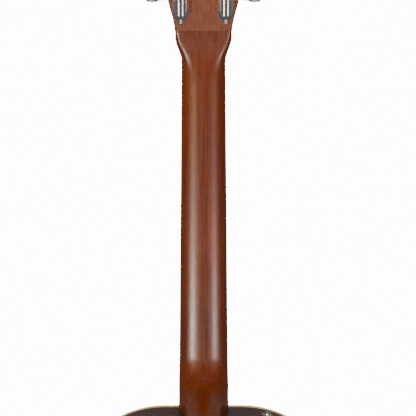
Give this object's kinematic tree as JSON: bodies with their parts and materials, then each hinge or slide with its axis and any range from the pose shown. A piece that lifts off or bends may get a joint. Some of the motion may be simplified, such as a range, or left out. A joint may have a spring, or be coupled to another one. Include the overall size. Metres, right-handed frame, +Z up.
{
  "type": "guitar-bodied bouzouki",
  "caption": "Guitar-bodied bouzouki with a long slim mahogany neck, paired steel strings, bound flat-backed body and covered worm tuners.",
  "frame": {"origin": "on the neck's centre line at the nut, in the glue plane between neck and fingerboard, where the nape hangs in a wall fork", "axes": "+Z up the neck to the headstock, +Y to the strings, +X to the bass side, -Y out of the flat back"},
  "size_m": [0.38, 0.1071, 1.0653],
  "materials": {
    "spruce_top": "satin varnish over straight-grained spruce",
    "body_mahogany": "dark red-brown stain under gloss varnish",
    "neck_mahogany": "red-brown mahogany, satin varnish",
    "head_mahogany": "orange-brown mahogany with short grain, satin varnish",
    "inner_wood": "bare spruce and mahogany",
    "rosewood": "oiled dark rosewood",
    "cream_binding": "cream celluloid, polished",
    "rosette_inlay": "rings of dark and light wood",
    "bone": "polished bone",
    "black_pins": "polished black plastic",
    "pearl_dot": "pearl plastic",
    "nickel_silver": "polished fret wire",
    "steel": "plain steel",
    "bronze_wound": "bronze winding on a steel core",
    "chrome": "bright chrome plate"
  },
  "bodies": {
    "body_and_neck": {"soundboard": "spruce_top", "back_plate": "body_mahogany", "rib_bass": "body_mahogany", "rib_treble": "body_mahogany", "neck_block": "inner_wood", "tail_block": "inner_wood", "lining_top": "inner_wood", "lining_back": "inner_wood", "soundboard_braces": "inner_wood", "back_braces": "inner_wood", "bridge_patch": "inner_wood", "binding_top": "cream_binding", "binding_back": "cream_binding", "rosette": "rosette_inlay", "bridge": "rosewood", "saddle": "bone", "bridge_pins": "black_pins", "neck": "neck_mahogany", "headstock": "head_mahogany", "head_veneer": "rosewood", "heel_cap": "rosewood", "truss_rod": "steel", "truss_rod_cover": "black_pins", "fingerboard": "rosewood", "fret_markers": "pearl_dot", "frets": "nickel_silver", "nut": "bone", "strings_plain": "steel", "strings_wound": "bronze_wound", "strap_button": "chrome", "strap_screw": "chrome", "end_pin": "chrome", "head_screws": "chrome", "tuner_plates": "chrome", "tuner_housings": "chrome", "post_bushings": "chrome"},
    "key_1": {"worm_shaft_1": "chrome", "button_1": "chrome"},
    "string_post_1": {"post_1": "chrome"},
    "key_2": {"worm_shaft_2": "chrome", "button_2": "chrome"},
    "string_post_2": {"post_2": "chrome"},
    "key_3": {"worm_shaft_3": "chrome", "button_3": "chrome"},
    "string_post_3": {"post_3": "chrome"},
    "key_4": {"worm_shaft_4": "chrome", "button_4": "chrome"},
    "string_post_4": {"post_4": "chrome"},
    "key_5": {"worm_shaft_5": "chrome", "button_5": "chrome"},
    "string_post_5": {"post_5": "chrome"},
    "key_6": {"worm_shaft_6": "chrome", "button_6": "chrome"},
    "string_post_6": {"post_6": "chrome"},
    "key_7": {"worm_shaft_7": "chrome", "button_7": "chrome"},
    "string_post_7": {"post_7": "chrome"},
    "key_8": {"worm_shaft_8": "chrome", "button_8": "chrome"},
    "string_post_8": {"post_8": "chrome"}
  },
  "joints": [
    {"name": "key_1_turn", "type": "hinge", "parent": "body_and_neck", "child": "key_1", "pos_m": [0.022, -0.0301, 0.05524], "axis": [1, 0, 0], "continuous": true},
    {"name": "post_1_turn", "type": "hinge", "parent": "body_and_neck", "child": "string_post_1", "pos_m": [0.022, -0.01019, 0.05293], "axis": [0, 0.9781, 0.2079], "continuous": true},
    {"name": "key_2_turn", "type": "hinge", "parent": "body_and_neck", "child": "key_2", "pos_m": [0.022, -0.03915, 0.09779], "axis": [1, 0, 0], "continuous": true},
    {"name": "post_2_turn", "type": "hinge", "parent": "body_and_neck", "child": "string_post_2", "pos_m": [0.022, -0.01923, 0.09548], "axis": [0, 0.9781, 0.2079], "continuous": true},
    {"name": "key_3_turn", "type": "hinge", "parent": "body_and_neck", "child": "key_3", "pos_m": [0.022, -0.04819, 0.14034], "axis": [1, 0, 0], "continuous": true},
    {"name": "post_3_turn", "type": "hinge", "parent": "body_and_neck", "child": "string_post_3", "pos_m": [0.022, -0.02828, 0.13803], "axis": [0, 0.9781, 0.2079], "continuous": true},
    {"name": "key_4_turn", "type": "hinge", "parent": "body_and_neck", "child": "key_4", "pos_m": [0.022, -0.05724, 0.18289], "axis": [1, 0, 0], "continuous": true},
    {"name": "post_4_turn", "type": "hinge", "parent": "body_and_neck", "child": "string_post_4", "pos_m": [0.022, -0.03732, 0.18058], "axis": [0, 0.9781, 0.2079], "continuous": true},
    {"name": "key_5_turn", "type": "hinge", "parent": "body_and_neck", "child": "key_5", "pos_m": [-0.022, -0.0301, 0.05524], "axis": [1, 0, 0], "continuous": true},
    {"name": "post_5_turn", "type": "hinge", "parent": "body_and_neck", "child": "string_post_5", "pos_m": [-0.022, -0.01019, 0.05293], "axis": [0, 0.9781, 0.2079], "continuous": true},
    {"name": "key_6_turn", "type": "hinge", "parent": "body_and_neck", "child": "key_6", "pos_m": [-0.022, -0.03915, 0.09779], "axis": [1, 0, 0], "continuous": true},
    {"name": "post_6_turn", "type": "hinge", "parent": "body_and_neck", "child": "string_post_6", "pos_m": [-0.022, -0.01923, 0.09548], "axis": [0, 0.9781, 0.2079], "continuous": true},
    {"name": "key_7_turn", "type": "hinge", "parent": "body_and_neck", "child": "key_7", "pos_m": [-0.022, -0.04819, 0.14034], "axis": [1, 0, 0], "continuous": true},
    {"name": "post_7_turn", "type": "hinge", "parent": "body_and_neck", "child": "string_post_7", "pos_m": [-0.022, -0.02828, 0.13803], "axis": [0, 0.9781, 0.2079], "continuous": true},
    {"name": "key_8_turn", "type": "hinge", "parent": "body_and_neck", "child": "key_8", "pos_m": [-0.022, -0.05724, 0.18289], "axis": [1, 0, 0], "continuous": true},
    {"name": "post_8_turn", "type": "hinge", "parent": "body_and_neck", "child": "string_post_8", "pos_m": [-0.022, -0.03732, 0.18058], "axis": [0, 0.9781, 0.2079], "continuous": true}
  ],
  "couplings": [
    {"joint": "post_1_turn", "follows": "key_1_turn", "ratio": -0.071429},
    {"joint": "post_2_turn", "follows": "key_2_turn", "ratio": -0.071429},
    {"joint": "post_3_turn", "follows": "key_3_turn", "ratio": -0.071429},
    {"joint": "post_4_turn", "follows": "key_4_turn", "ratio": -0.071429},
    {"joint": "post_5_turn", "follows": "key_5_turn", "ratio": -0.071429},
    {"joint": "post_6_turn", "follows": "key_6_turn", "ratio": -0.071429},
    {"joint": "post_7_turn", "follows": "key_7_turn", "ratio": -0.071429},
    {"joint": "post_8_turn", "follows": "key_8_turn", "ratio": -0.071429}
  ]
}
